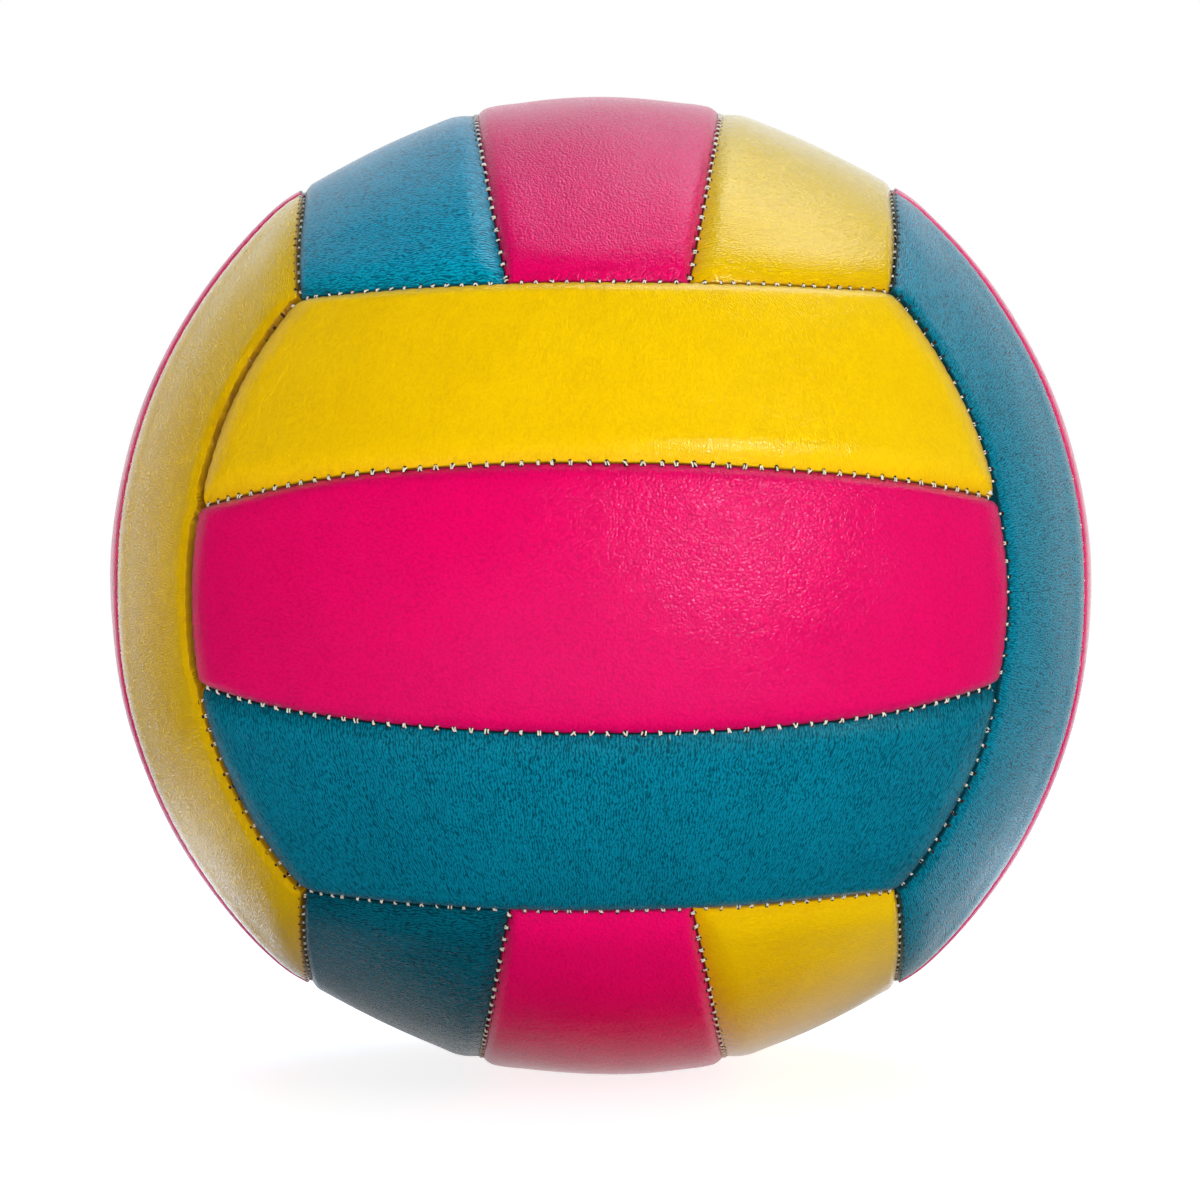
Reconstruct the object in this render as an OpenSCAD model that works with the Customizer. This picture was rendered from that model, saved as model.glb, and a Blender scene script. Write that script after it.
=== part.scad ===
// Beach volleyball with eighteen sewn panels, a rubber bladder and a needle valve.
// The origin is the ball's centre, -Y is the face that looks at the viewer, +Z is up,
// and the valve is in the middle of the back, at +Y.
// Each of the six faces has three strips. In a face's own frame x runs along the strips,
// y runs across them and z points outward.

/* [Ball] */
// Girth round the ball through the middles of four faces
girth = 670; // [640:1:700]
// How far behind the ball's centre each face's own sphere is centred, so that strip ends stand proud
face_offset = 4.35; // [2:0.05:6]

/* [Seams] */
// Angle from a face's middle to the middle of the seam along its outer strips, in degrees
side_seam_angle = 37.3; // [36.5:0.1:39]
// Angle from a face's middle to the middle of an inner seam, in degrees
inner_seam_angle = 14.6; // [12:0.1:16]
// Lean of an inner seam's plane, which widens the middle strip at its middle, in degrees
inner_seam_lean = 12.2; // [6:0.1:13]
// Clear space between the two turned-in edges of a seam
seam_gap = 0.7; // [0.6:0.05:1]
// Depth of the groove along a seam
groove_depth = 1.8; // [1:0.1:2.2]
// Distance over which a strip's surface turns down into the groove
edge_run = 6.5; // [5:0.5:8]
// Angle at which the turned-down edge leaves the strip's surface, in degrees
edge_break_angle = 3.5; // [3:0.5:5]

/* [Panel layers] */
// Thickness of the soft outer cover
cover_t = 1; // [0.8:0.1:1.2]
// Thickness of the foam pad under the middle of a face
foam_t = 2.8; // [2:0.1:4]
// Thickness of the cloth lining
lining_t = 0.5; // [0.4:0.1:0.8]
// Glue line between two layers of a panel
layer_gap = 0.1; // [0.05:0.05:0.2]

/* [Stitching] */
// Diameter of the sewing thread
thread_d = 0.56; // [0.4:0.02:0.58]
// Depth of the thread's middle below the bottom of the groove
thread_sink = 0.45; // [0.3:0.05:0.8]
// Length left free between a thread's end and the seam that it meets
thread_stop = 0.9; // [0.6:0.1:2]

/* [Bladder] */
// Wall of the rubber bladder
bladder_t = 0.6; // [0.4:0.1:1.2]
// Clear space between the bladder and the panels around it
bladder_gap = 0.3; // [0.2:0.05:0.5]

/* [Valve] */
// Diameter of the valve's head, which shows in the panel
valve_head_d = 6; // [5:0.5:8]
// How far the valve's head lies below the panel's surface
valve_recess = 0.4; // [0.2:0.1:0.8]
// Diameter of the valve's neck under the cover
valve_neck_d = 11; // [9:0.5:14]
// Diameter of the valve's foot against the bladder's inside
valve_foot_d = 26; // [20:1:36]
// Thickness of the valve's foot
valve_foot_t = 1.4; // [1:0.1:2]
// Length of the valve's tail beyond the foot
valve_tail_l = 3; // [2:0.5:5]
// Clear space around the valve in the bladder and in the panel
valve_fit = 0.2; // [0.1:0.05:0.3]
// Diameter of the sealing core in the valve
core_d = 4; // [3.6:0.1:4.4]
// Clear space around the core in the valve
core_fit = 0.05; // [0.05:0.01:0.1]
// Diameter of the core's lip, which holds it against the tail
core_lip_d = 7; // [6:0.5:8]
// Thickness of the core's lip
core_lip_t = 1.2; // [0.8:0.1:1.6]
// Diameter of the guide hole for an inflating needle
needle_d = 2.2; // [2:0.1:2.6]
// Length of the slit that closes the core's inner end
slit_l = 2.5; // [1.5:0.1:4]

/* [Hidden] */
$fn = 120;

yellow = [0.95, 0.77, 0.05];
magenta = [0.86, 0.02, 0.36];
teal = [0.00, 0.44, 0.52];
foam_white = [0.93, 0.92, 0.88];
cloth_white = [0.86, 0.85, 0.80];
thread_cream = [0.93, 0.88, 0.72];
rubber_black = [0.10, 0.10, 0.11];
rubber_grey = [0.45, 0.45, 0.46];
rubber_ivory = [0.88, 0.84, 0.72];

// Mean rise of a face's sphere over its middle, round the whole girth
mean_rise_share = 0.0997;
// Radius at a face's middle, and of the face's own sphere
crown_r = girth / (2 * PI) - mean_rise_share * face_offset;
face_r = crown_r + face_offset;
// Radius on which the seams are laid out, halfway down a groove
seam_r = crown_r - groove_depth / 2;
// Size of the blocks that the panels are cut from, larger than the ball
reach = 2 * face_r;

// Surfaces of the layers under a face's middle, from the ball's centre
pad_skin = cover_t + layer_gap;
pad_r = crown_r - pad_skin - foam_t;
lining_r = pad_r - layer_gap;
hem_r = lining_r - lining_t;
bladder_r = hem_r - bladder_gap;
bladder_inner_r = bladder_r - bladder_t;

// Levels along the valve's axis, from the ball's centre
head_top = crown_r - valve_recess;
neck_top = crown_r - pad_skin;
foot_r = bladder_inner_r - layer_gap;
tail_end = foot_r - valve_foot_t - valve_tail_l;
core_end = tail_end - core_lip_t;
slit_top = core_end + slit_l;

// Lean of a side seam's plane, which passes through the cube corners and the seam's middle
corner_share = 1 / sqrt(3);
side_seam_lean = atan2(sin(side_seam_angle) - corner_share, cos(side_seam_angle) - corner_share);
// Distances of the seam planes from the ball's centre
side_seam_d = seam_r * sin(side_seam_angle - side_seam_lean);
inner_seam_d = seam_r * sin(inner_seam_angle - inner_seam_lean);
// The same from the centre of a face's own sphere, at the sides and ends of its strips
side_h = side_seam_d - face_offset * sin(side_seam_lean);
inner_h = inner_seam_d - face_offset * sin(inner_seam_lean);
end_h = -side_seam_d - face_offset * cos(side_seam_lean);
// A strip's end stands proud of the side seam that it meets, so it turns down further
end_rise = face_offset * (cos(side_seam_angle) - sin(side_seam_angle));
end_depth = groove_depth + end_rise / 2;

// Limits of a strip: the turn that points an axis out through the seam plane, the plane's
// distance along that axis, and the depth of the groove
END_LIMITS = [
    [[0, 180 - side_seam_lean, 0], end_h, end_depth],
    [[0, 180 - side_seam_lean, 180], end_h, end_depth]
];
MIDDLE_LIMITS = concat(END_LIMITS, [
    [[-90 - inner_seam_lean, 0, 0], inner_h, groove_depth],
    [[90 + inner_seam_lean, 0, 0], inner_h, groove_depth]
]);
OUTER_LIMITS = concat(END_LIMITS, [
    [[-90 - side_seam_lean, 0, 0], side_h, groove_depth],
    [[90 - inner_seam_lean, 0, 0], -inner_h, groove_depth]
]);

// Faces: name and the turn from the face's frame to the ball's
FACES = [
    ["front", [90, 0, 0]],
    ["back", [90, 0, 180]],
    ["left", [0, -90, 0]],
    ["right", [0, -90, 180]],
    ["top", [0, 0, 90]],
    ["bottom", [180, 0, 90]]
];

// Strips: name, face, place across the face from 1 to -1, and colour
STRIPS = [
    ["front_top", 0, 1, yellow],
    ["front_middle", 0, 0, magenta],
    ["front_bottom", 0, -1, teal],
    ["back_top", 1, 1, teal],
    ["back_middle", 1, 0, magenta],
    ["back_bottom", 1, -1, yellow],
    ["left_back", 2, 1, teal],
    ["left_middle", 2, 0, magenta],
    ["left_front", 2, -1, yellow],
    ["right_front", 3, 1, teal],
    ["right_middle", 3, 0, magenta],
    ["right_back", 3, -1, yellow],
    ["top_left", 4, 1, teal],
    ["top_middle", 4, 0, magenta],
    ["top_right", 4, -1, yellow],
    ["bottom_right", 5, 1, yellow],
    ["bottom_middle", 5, 0, magenta],
    ["bottom_left", 5, -1, teal]
];
VALVE_STRIP = "back_middle";

// A turned-down edge is an arc from the strip's surface to the bottom of the groove, worked out
// in half section, with the distance from the limit's axis first and the height along it second
function along(a) = [cos(a), sin(a)];
function groove_bottom(h, depth) = (face_r - depth) * along(asin(h / (face_r - depth)));
function edge_start_a(h, depth) = asin(h / (face_r - depth)) - edge_run / face_r * 180 / PI;
function edge_start(h, depth) = face_r * along(edge_start_a(h, depth));
function edge_normal(h, depth) = along(edge_start_a(h, depth) + edge_break_angle);
function arc_r_through(drop, normal) = -(drop * drop) / (2 * drop * normal);
function edge_arc_r(h, depth) =
    arc_r_through(groove_bottom(h, depth) - edge_start(h, depth), edge_normal(h, depth));
function edge_centre(h, depth) = edge_start(h, depth) - edge_arc_r(h, depth) * edge_normal(h, depth);

// Half the angle that a seam's arc spans before it meets the seams at the ends of the strips
function seam_arc_r(h) = sqrt(pow(face_r - groove_depth - thread_sink, 2) - h * h);
function seam_half_a(h, lean) =
    let (
        across = seam_arc_r(h) * sin(side_seam_lean),
        outward = seam_arc_r(h) * cos(side_seam_lean) * cos(lean),
        level = side_seam_d + cos(side_seam_lean) * (face_offset + h * sin(lean))
    )
    acos(level / norm([across, outward])) - atan2(across, outward);

module in_face(face) {
    rotate(FACES[face][1]) children();
}

// A low strip is the high one turned half round about the face's middle
module in_strip(strip) {
    in_face(strip[1]) rotate([0, 0, strip[2] < 0 ? 180 : 0]) children();
}

// The poles of a face's sphere are kept out of the face
module face_ball(r) {
    translate([0, 0, -face_offset]) rotate([90, 0, 0]) sphere(r);
}

module centre_ball(r) {
    rotate([90, 0, 0]) sphere(r);
}

// The space inside a seam plane and its turned-down edge, in half section
module edge_section(h, depth, inset, skin) {
    centre = edge_centre(h, depth);
    step = (face_r - skin) * sin(atan2(centre.y, centre.x));
    difference() {
        translate([0, -reach]) square([reach, reach + h - inset]);
        difference() {
            translate([centre.x, step]) square(reach);
            translate(centre) circle(edge_arc_r(h, depth) - skin);
        }
    }
}

module edge_limit(limit, inset, skin) {
    translate([0, 0, -face_offset]) rotate(limit[0])
        rotate_extrude() edge_section(limit[1], limit[2], inset, skin);
}

// The space of one strip, inset from its seams and sunk below its surface
module strip_space(strip, inset, skin) {
    limits = strip[2] == 0 ? MIDDLE_LIMITS : OUTER_LIMITS;
    intersection() {
        face_ball(face_r - skin);
        intersection_for (limit = limits) edge_limit(limit, inset, skin);
    }
}

// A hole along the face's middle for the valve, in the one strip that carries it
module valve_hole(strip, d) {
    if (strip[0] == VALVE_STRIP) cylinder(h = reach, d = d + 2 * valve_fit);
}

// The cover, with its edges turned in down to the hem
module panel(strip) {
    color(strip[3]) in_strip(strip) difference() {
        strip_space(strip, seam_gap / 2, 0);
        strip_space(strip, seam_gap / 2 + cover_t, cover_t);
        centre_ball(hem_r);
        valve_hole(strip, valve_head_d);
    }
}

// The foam pad that fills the cover
module foam(strip) {
    color(foam_white) in_strip(strip) difference() {
        strip_space(strip, seam_gap / 2 + pad_skin, pad_skin);
        centre_ball(pad_r);
        valve_hole(strip, valve_neck_d);
    }
}

// The cloth under one pad, between the turned-in edges
module lining_piece(strip) {
    in_strip(strip) difference() {
        intersection() {
            strip_space(strip, seam_gap / 2 + pad_skin, pad_skin);
            centre_ball(lining_r);
        }
        centre_ball(hem_r);
        valve_hole(strip, valve_neck_d);
    }
}

module lining(face) {
    color(cloth_white) for (strip = STRIPS) if (strip[1] == face) lining_piece(strip);
}

// One seam's thread, in the gap between the turned-in edges
module seam_thread(h, lean) {
    half_a = seam_half_a(h, lean) - thread_stop / seam_arc_r(h) * 180 / PI;
    translate([0, 0, -face_offset]) rotate([-90 - lean, 0, 0]) translate([0, 0, h])
        rotate_extrude(start = -90 - half_a, angle = 2 * half_a)
            translate([seam_arc_r(h), 0]) circle(d = thread_d, $fn = 24);
}

// The threads of a face's two inner seams and two side seams
module thread(face) {
    color(thread_cream) in_face(face) for (turn = [0, 180]) rotate([0, 0, turn]) {
        seam_thread(inner_h, inner_seam_lean);
        seam_thread(side_h, side_seam_lean);
    }
}

module in_valve() {
    in_face(1) children();
}

module bladder() {
    color(rubber_black) in_valve() difference() {
        centre_ball(bladder_r);
        centre_ball(bladder_inner_r);
        cylinder(h = reach, d = valve_neck_d + 2 * valve_fit);
    }
}

// Foot, tail, neck and head in one piece of rubber, with the seat for the core
module valve_housing() {
    color(rubber_grey) in_valve() difference() {
        union() {
            intersection() {
                difference() {
                    centre_ball(foot_r);
                    centre_ball(foot_r - valve_foot_t);
                }
                cylinder(h = reach, d = valve_foot_d);
            }
            translate([0, 0, tail_end]) cylinder(h = neck_top - tail_end, d = valve_neck_d);
            translate([0, 0, tail_end]) cylinder(h = head_top - tail_end, d = valve_head_d);
        }
        cylinder(h = reach, d = core_d + 2 * core_fit);
    }
}

// The core seals the ball: its slit is drawn closed, and a needle enters through the guide hole
module valve_core() {
    color(rubber_ivory) in_valve() difference() {
        union() {
            translate([0, 0, core_end]) cylinder(h = head_top - core_end, d = core_d);
            translate([0, 0, core_end]) cylinder(h = core_lip_t, d = core_lip_d);
        }
        translate([0, 0, slit_top]) cylinder(h = reach, d = needle_d);
    }
}

for (strip = STRIPS) {
    panel(strip);
    foam(strip);
}
for (face = [0 : len(FACES) - 1]) {
    lining(face);
    thread(face);
}
bladder();
valve_housing();
valve_core();
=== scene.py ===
"""Looks of the beach volleyball: sewn leather covers, their stitches, the valve and the studio."""
import math

import bmesh
import bpy
import numpy as np
from mathutils import Matrix, Vector


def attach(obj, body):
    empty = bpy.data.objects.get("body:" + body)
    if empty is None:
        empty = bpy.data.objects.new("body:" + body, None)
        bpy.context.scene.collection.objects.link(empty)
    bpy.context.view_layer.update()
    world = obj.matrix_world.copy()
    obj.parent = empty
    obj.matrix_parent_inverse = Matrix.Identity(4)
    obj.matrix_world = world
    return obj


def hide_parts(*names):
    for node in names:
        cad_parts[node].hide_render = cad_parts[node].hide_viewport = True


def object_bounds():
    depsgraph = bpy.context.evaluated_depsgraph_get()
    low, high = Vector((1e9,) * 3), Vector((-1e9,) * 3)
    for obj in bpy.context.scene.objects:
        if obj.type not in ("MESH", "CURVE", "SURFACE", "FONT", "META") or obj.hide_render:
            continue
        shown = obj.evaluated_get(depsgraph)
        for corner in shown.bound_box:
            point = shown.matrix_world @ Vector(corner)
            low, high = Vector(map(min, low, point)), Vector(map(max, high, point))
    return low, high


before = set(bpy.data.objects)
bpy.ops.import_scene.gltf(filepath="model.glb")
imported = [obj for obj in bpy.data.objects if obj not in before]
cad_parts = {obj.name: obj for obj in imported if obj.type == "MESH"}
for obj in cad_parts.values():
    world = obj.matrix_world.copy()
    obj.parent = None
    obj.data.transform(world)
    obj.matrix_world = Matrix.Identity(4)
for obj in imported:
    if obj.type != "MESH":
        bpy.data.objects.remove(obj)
cad_low, cad_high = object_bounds()

MM = 0.001
DEGREE = math.pi / 180

# Ball: radius at the middle of a face, from the frame. Each face is part of a larger sphere, whose
# centre stands FACE_OFFSET behind the ball's. The covers' hems end at HEM_R.
CROWN_R = (cad_high[0] - cad_low[0]) / 2
FACE_OFFSET = 4.35 * MM
FACE_R = CROWN_R + FACE_OFFSET
HEM_R = CROWN_R - 4.5 * MM

# Seams: angle from a face's middle to the seam's middle, and lean of the seam's plane. The side
# seams lean so that three of them meet at each corner of the cube.
INNER_ANGLE = 14.6 * DEGREE
INNER_LEAN = 12.2 * DEGREE
SIDE_ANGLE = 37.3 * DEGREE
CORNER = math.sqrt(1 / 3)
SIDE_LEAN = math.atan2(math.sin(SIDE_ANGLE) - CORNER, math.cos(SIDE_ANGLE) - CORNER)
SIDE_LEVEL = math.sin(SIDE_ANGLE - SIDE_LEAN)

# Section of a cover towards its seams: thickness, hem, radius of the turned edge at inner and outer
# seams, least distance that its mix of radii counts, wall of the groove and the strip's corners
COVER_T = 1.0 * MM
HEM_WIDTH = 1.15 * MM
INNER_EDGE_R = 0.2 * MM
OUTER_EDGE_R = 0.24 * MM
LEAST_DISTANCE = 0.01 * MM
WALL_RUN = 0.05 * MM
WALL_DEPTH = 1.3 * MM
CORNER_R = 0.7 * MM
# Shoulders beside the seams that run along a strip, and the flat middle between them
SHOULDER_AT = 5.0 * MM
SHOULDER_RUN = 3.5 * MM
SHOULDER_FADE = 3 * SHOULDER_AT
MIDDLE_SHOULDER = 0.22 * MM
OUTER_SHOULDER = 0.2 * MM
MIDDLE_FLAT = 0.4 * MM
OUTER_FLAT = 0.62 * MM
# How a strip falls to its rims: the rim's depth under the crown, the fall's length and its power
PILLOW = (1.45 * MM, 3.2 * MM, 2.0)
INNER_FALL = (1.0 * MM, 6.0 * MM, 2.0)
SIDE_FALL = (0.3 * MM, 3.0 * MM, 1.6)
END_FALL = (0.1 * MM, 9.0 * MM, 2.2)
# The left and right faces have shallower seams: depth as a share of the others, and the fall
# of their outer strips
SHALLOW = 0.45
QUICK_FALL = (0.55 * MM, 1.6 * MM, 2.0)

# Stitches: pitch along a seam and their stray from it
PITCH = {"inner": 3.5 * MM, "side": 3.1 * MM}
STITCH_JITTER = 0.16 * MM
# Thread's radius, a stitch's reach to each side of the groove, the opening between its two
# strands, and its shift into the seam's own face
THREAD_R = {"inner": 0.16 * MM, "side": 0.14 * MM}
STITCH_REACH = {"inner": 0.42 * MM, "side": 0.3 * MM}
STITCH_OPEN = {"inner": 0.34 * MM, "side": 0.26 * MM}
STITCH_SHIFT = {"inner": 0.12 * MM, "side": 0.05 * MM}
# Unevenness of single stitches: shares of reach and opening, slant, and stray along the seam
STITCH_SEED = 100
REACH_SHARES = (0.8, 1.15)
OPEN_SHARES = (0.1, 1.1)
SLANT = 0.12 * MM
STRAY = 0.08 * MM
# Course of a strand: shares of the reach, heights over the leather in radii of the thread, and
# which of these points are the feet, where it meets the leather
STRAND_SHARES = np.array([-1.15, -1.0, -0.6, 0.0, 0.6, 1.0, 1.15])
STRAND_HEIGHTS = np.array([-2.0, 0.2, 1.3, 1.6, 1.3, 0.2, -2.0])
STRAND_FEET = (1, 5)
# How far beside its seam a stitch is tried for room, and the room that it needs there
STITCH_CLEAR = 1.3 * MM
STITCH_ROOM = 0.7 * STITCH_CLEAR
# Dark discs of painted shade at the needle holes: radius, its shares, length as a share of the
# width, place as a share of the stitch's reach, stray along the seam, and lift over the leather
HOLE_SEED = 300
HOLE_SIDES = 8
HOLE_R = {"inner": 0.3 * MM, "side": 0.26 * MM}
HOLE_SHARES = (0.8, 1.35)
HOLE_LENGTH = 1.3
HOLE_AT = 1.1
HOLE_STRAY = 0.1 * MM
HOLE_LIFT = 0.08 * MM
# Dip of the leather at each stitch, and how far it reaches
PUCKER = 0.16 * MM
PUCKER_RUN = 1.5 * MM

# Gap where the left face's front strip stands off from its seam: full width, distance over which it
# closes at the front's own seams, its share of the width at the top, and the run to full width
GAPE = 1.35 * MM
GAPE_END = 2.0 * MM
GAPE_START = 0.25
GAPE_RUN = 38 * MM

# How the hand-sewn seams run: azimuth and elevation of a place in degrees, and its move to the
# right and up in millimetres, which fades out over SHIFT_SPREAD degrees
SHIFT_SPREAD = 13
SHIFTS = [
    # Upper and lower seam of the front's middle strip
    (-30, 12, 0, 1.1), (-10, 14, 0, 0.9), (12, 14, 0, 0.6), (34, 12, 0, 0.75), (50, 10, 0, 0.6),
    (-38, -12, 0, -0.7), (-15, -14, 0, -0.2), (12, -14, 0, -0.4), (32, -12, 0, -0.85), (48, -11, 0, -0.5),
    # Seams above and below the front
    (-38, 36, 0, -0.5), (-18, 37, 0, -0.8), (4, 37, 0, -0.9), (24, 37, 0, -0.5),
    (-36, -36, 0, 0.6), (-15, -37, 0, 0.9), (5, -37, 0, 0.9), (25, -37, 0, 0.8), (40, -36, 0, 0.5),
    # Seams right and left of the front
    (53, 0, -2.0, 0), (50, 18, -1.6, 0), (46, 30, -1.6, 0), (50, -18, -1.3, 0), (46, -30, -1.0, 0),
    (-53, 6, 1.8, 0),
    # Inner seams of the left and right faces
    (-76, 0, 3.8, 0), (-76, 26, 3.8, 0), (-76, -26, 3.8, 0), (-74, 46, 2.4, 0), (-74, -46, 2.4, 0),
    (76, 0, -3.8, 0), (76, 26, -3.8, 0), (76, -26, -3.8, 0), (74, 46, -2.4, 0), (74, -46, -2.4, 0),
]
# Waves of the padding: how many, their height, and their turn over one radius of the ball
WAVE_SEED = 11
WAVE_COUNT = 9
WAVE_HEIGHT = 0.028 * MM
WAVE_RATES = (15, 26)
# Swells of the inflated ball: azimuth, elevation and spread in degrees, and the push outwards in
# millimetres
SWELLS = [
    (90, -35, 38, 0.9),
    (90, 25, 25, 0.35),
    (-90, 30, 28, 0.6),
    (-90, -25, 22, 0.45),
    (-90, -62, 14, -0.4),
]

# Faces: their directions along and across the strips, and outwards
FACES = {
    "front": ((1, 0, 0), (0, 0, 1), (0, -1, 0)),
    "back": ((-1, 0, 0), (0, 0, 1), (0, 1, 0)),
    "left": ((0, 0, 1), (0, 1, 0), (-1, 0, 0)),
    "right": ((0, 0, 1), (0, -1, 0), (1, 0, 0)),
    "top": ((0, 1, 0), (-1, 0, 0), (0, 0, 1)),
    "bottom": ((0, 1, 0), (1, 0, 0), (0, 0, -1)),
}
AXES = {name: tuple(np.array(axis, float) for axis in axes) for name, axes in FACES.items()}

# Strips: name, face, place across the face, colour of the leather
STRIPS = [
    ("front_top", "front", 1, "yellow"),
    ("front_middle", "front", 0, "magenta"),
    ("front_bottom", "front", -1, "teal"),
    ("back_top", "back", 1, "teal"),
    ("back_middle", "back", 0, "magenta"),
    ("back_bottom", "back", -1, "yellow"),
    ("left_back", "left", 1, "teal"),
    ("left_middle", "left", 0, "magenta"),
    ("left_front", "left", -1, "yellow"),
    ("right_front", "right", 1, "teal"),
    ("right_middle", "right", 0, "magenta"),
    ("right_back", "right", -1, "yellow"),
    ("top_left", "top", 1, "teal"),
    ("top_middle", "top", 0, "magenta"),
    ("top_right", "top", -1, "yellow"),
    ("bottom_right", "bottom", 1, "yellow"),
    ("bottom_middle", "bottom", 0, "magenta"),
    ("bottom_left", "bottom", -1, "teal"),
]

# Painted light and shade: how much lighter or darker each strip is painted than the others of its colour
STRIP_PAINTED_LIGHT = {
    "top_left": 1.6, "top_right": 0.88, "right_front": 1.25, "left_front": 0.86,
    "left_middle": 1.2, "right_middle": 1.2,
    "bottom_left": 0.66, "bottom_middle": 1.3, "bottom_right": 1.08,
}

# Grid of a cover: distances of its first lines from a rim, and the steps between the rest, across
# and along. The inner skin keeps one line in so many.
RIM_LINES = np.array([
    0.03, 0.1, 0.17, 0.28, 0.42, 0.58, 0.76, 0.96, 1.2, 1.5, 1.85, 2.3, 2.8, 3.4, 4.1,
]) * MM
GRID_STEPS = (0.85 * MM, 0.8 * MM)
INNER_STEPS = (5, 6)

# Hole for the valve's head: radius, bevel, sides, and how far round it the cover is cut open
VALVE_HOLE_R = 3.2 * MM
VALVE_HOLE_BEVEL = 0.25 * MM
VALVE_HOLE_SIDES = 64
VALVE_HOLE_CUT = 1.35 * VALVE_HOLE_R

# Distance from a seam over which painted shade darkens the leather, and over which it takes the painted
# shade of the groove
SHADE_RUN = 4.0 * MM
GROOVE_RUN = 0.38 * MM


# Geometry of the seams, on the unit sphere

def around(azimuth, elevation, distance):
    """A place round the ball: azimuth 0 is in front, 90 on the right."""
    a, e = azimuth * DEGREE, elevation * DEGREE
    return (
        distance * math.cos(e) * math.sin(a),
        -distance * math.cos(e) * math.cos(a),
        distance * math.sin(e),
    )


class Seam:
    """A seam is part of a circle, cut into the unit sphere by a plane along its face's strips."""

    def __init__(self, face, kind, side):
        along, across, outward = AXES[face]
        angle, lean = (INNER_ANGLE, INNER_LEAN) if kind == "inner" else (SIDE_ANGLE, SIDE_LEAN)
        self.kind, self.side, self.along = kind, side, along
        self.normal = math.cos(lean) * side * across - math.sin(lean) * outward
        self.middle = math.sin(lean) * side * across + math.cos(lean) * outward
        self.level = math.sin(angle - lean)
        self.ring = math.sqrt(1 - self.level**2)
        self.ring_r = self.ring * CROWN_R
        self.pitch = PITCH[kind]
        count = int(2 * half_angle(self.level, lean) * self.ring_r / self.pitch)
        seed = 10 * list(FACES).index(face) + 2 * (kind == "side") + (side > 0)
        stray = np.random.default_rng(seed).normal(0, STITCH_JITTER, count)
        self.stitches = ((np.arange(count) - (count - 1) / 2) * self.pitch + stray) / self.ring_r

    def beside(self, angle, across, along):
        """Directions beside the seam: across is a distance into the seam's own face."""
        turn = (angle + along / self.ring_r)[..., None]
        round_ring = np.cos(turn) * self.middle + np.sin(turn) * self.along
        on_seam = self.level * self.normal + self.ring * round_ring
        inward = (on_seam @ self.normal)[..., None] * on_seam - self.normal
        inward /= np.linalg.norm(inward, axis=-1, keepdims=True)
        # Adding 0 * angle gives the bend the shape of the angles
        bend = (across / CROWN_R + 0 * angle)[..., None]
        return np.cos(bend) * on_seam + np.sin(bend) * inward

    def distance(self, directions):
        """Distance along the surface from the seam, positive towards its own face's middle."""
        return CROWN_R * (math.asin(self.level) - np.arcsin(directions @ self.normal))

    def pucker(self, directions):
        """1 at a stitch and 0 halfway between two."""
        angle = np.arctan2(directions @ self.along, directions @ self.middle)
        phase = angle * self.ring_r / self.pitch + (0 if len(self.stitches) % 2 else 0.5)
        return 0.5 + 0.5 * np.cos(2 * math.pi * phase)


def half_angle(level, lean):
    """Angle from a strip's middle to its end, along the circle at that level and lean."""
    ring = np.sqrt(1 - level**2)
    outward = ring * math.cos(SIDE_LEAN) * np.cos(lean)
    along = ring * math.sin(SIDE_LEAN)
    target = SIDE_LEVEL + math.cos(SIDE_LEAN) * level * np.sin(lean)
    return np.arccos(target / np.hypot(outward, along)) - np.arctan2(along, outward)


SEAMS = {
    (face, kind, side): Seam(face, kind, side)
    for face in FACES
    for kind in ("inner", "side")
    for side in (1, -1)
}


def end_seam(face, end):
    """The side seam of the next face, which a strip's end meets."""
    along, _, outward = AXES[face]
    for name, (_, across, out) in AXES.items():
        if np.allclose(out, end * along):
            return SEAMS[name, "side", int(round(across @ outward))]
    raise ValueError(face)


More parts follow.
